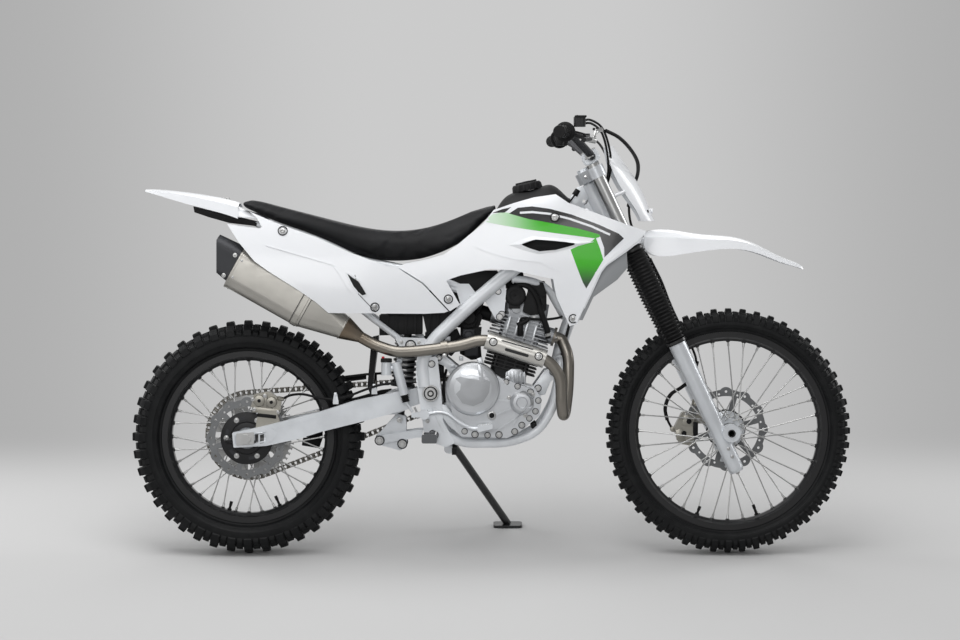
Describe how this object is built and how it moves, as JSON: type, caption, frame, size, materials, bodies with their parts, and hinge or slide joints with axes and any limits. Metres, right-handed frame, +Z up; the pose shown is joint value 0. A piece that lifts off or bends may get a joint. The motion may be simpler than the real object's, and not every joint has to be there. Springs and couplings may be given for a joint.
{
  "type": "trail motorcycle",
  "caption": "Off-road motorcycle with laced wheels, long fork, high fenders and plastic panels, leaning on its side stand with steering, wheels and stand that move",
  "frame": {"origin": "centre of the footprint of its bounding box, on the floor it is parked on", "axes": "+X forward along the bike, +Y to its left, the side it leans to, +Z up"},
  "size_m": [2.0339, 0.8077, 1.2509],
  "materials": {
    "tyre": "matt charcoal rubber",
    "black_rim": "satin black anodised",
    "bright_steel": "bright plated steel",
    "silver_steel": "satin steel tube",
    "satin_alloy": "satin silver alloy",
    "engine_alloy": "fine cast silver paint",
    "chain_steel": "oiled chain steel",
    "black_rubber": "matt black rubber",
    "black_alloy": "satin black alloy",
    "caliper_alloy": "pale gold alloy",
    "frame_paint": "silver frame paint",
    "black_paint": "black paint",
    "black_plastic": "textured black plastic",
    "header_steel": "warm stainless steel",
    "muffler_alloy": "matt titanium-coloured alloy",
    "dark_alloy": "dark grey alloy",
    "seat_vinyl": "black grained vinyl",
    "white_plastic": "gloss white plastic"
  },
  "bodies": {
    "chassis": {"front_sprocket": "bright_steel", "drive_chain": "chain_steel", "main_frame": "frame_paint", "subframe": "frame_paint", "swingarm": "satin_alloy", "pivot_bolt": "bright_steel", "rear_axle": "bright_steel", "shock_absorber": "black_paint", "shock_linkage": "satin_alloy", "crankcase": "engine_alloy", "clutch_cover": "engine_alloy", "generator_cover": "engine_alloy", "cylinder": "black_alloy", "cylinder_head": "engine_alloy", "intake": "black_rubber", "airbox": "black_plastic", "exhaust_header": "header_steel", "heat_shield": "muffler_alloy", "muffler": "muffler_alloy", "muffler_cap": "dark_alloy", "seat": "seat_vinyl", "fuel_tank": "black_plastic", "fuel_cap": "black_plastic", "shroud_right": "white_plastic", "shroud_left": "white_plastic", "side_cover_right": "white_plastic", "side_cover_left": "white_plastic", "rear_fender": "white_plastic", "footpegs": "silver_steel", "brake_pedal": "satin_alloy", "shift_lever": "satin_alloy", "rear_master_cylinder": "satin_alloy", "rear_caliper": "caliper_alloy", "rear_brake_hose": "black_rubber", "chain_guard": "black_plastic", "mud_flap": "black_rubber"},
    "steering": {"fork_sliders": "satin_alloy", "front_axle": "bright_steel", "fork_tubes": "bright_steel", "fork_boots": "black_rubber", "triple_clamps": "satin_alloy", "handlebar": "dark_alloy", "grips": "black_rubber", "hand_controls": "black_alloy", "number_plate": "white_plastic", "front_fender": "white_plastic", "front_caliper": "caliper_alloy", "front_brake_hose": "black_rubber"},
    "front_wheel": {"front_tyre": "tyre", "front_rim": "black_rim", "front_spokes": "bright_steel", "front_hub": "satin_alloy", "front_disc": "bright_steel"},
    "rear_wheel": {"rear_tyre": "tyre", "rear_rim": "black_rim", "rear_spokes": "bright_steel", "rear_hub": "satin_alloy", "rear_disc": "bright_steel", "rear_sprocket": "bright_steel"},
    "side_stand": {"side_stand": "black_paint"}
  },
  "joints": [
    {"name": "steering", "type": "hinge", "parent": "chassis", "child": "steering", "pos_m": [0.31841, -0.03499, 0.94412], "axis": [-0.4274, 0.1414, 0.893], "range_deg": [-42, 42]},
    {"name": "front_wheel_spin", "type": "hinge", "parent": "steering", "child": "front_wheel", "pos_m": [0.67, -0.13012, 0.34354], "axis": [0, 0.9877, -0.1564], "continuous": true},
    {"name": "rear_wheel_spin", "type": "hinge", "parent": "chassis", "child": "rear_wheel", "pos_m": [-0.687, -0.13278, 0.32675], "axis": [0, 0.9877, -0.1564], "continuous": true},
    {"name": "side_stand_fold", "type": "hinge", "parent": "chassis", "child": "side_stand", "pos_m": [-0.121, -0.01998, 0.28458], "axis": [-0.0348, 0.9121, 0.4084], "range_deg": [0, 106.6]}
  ]
}
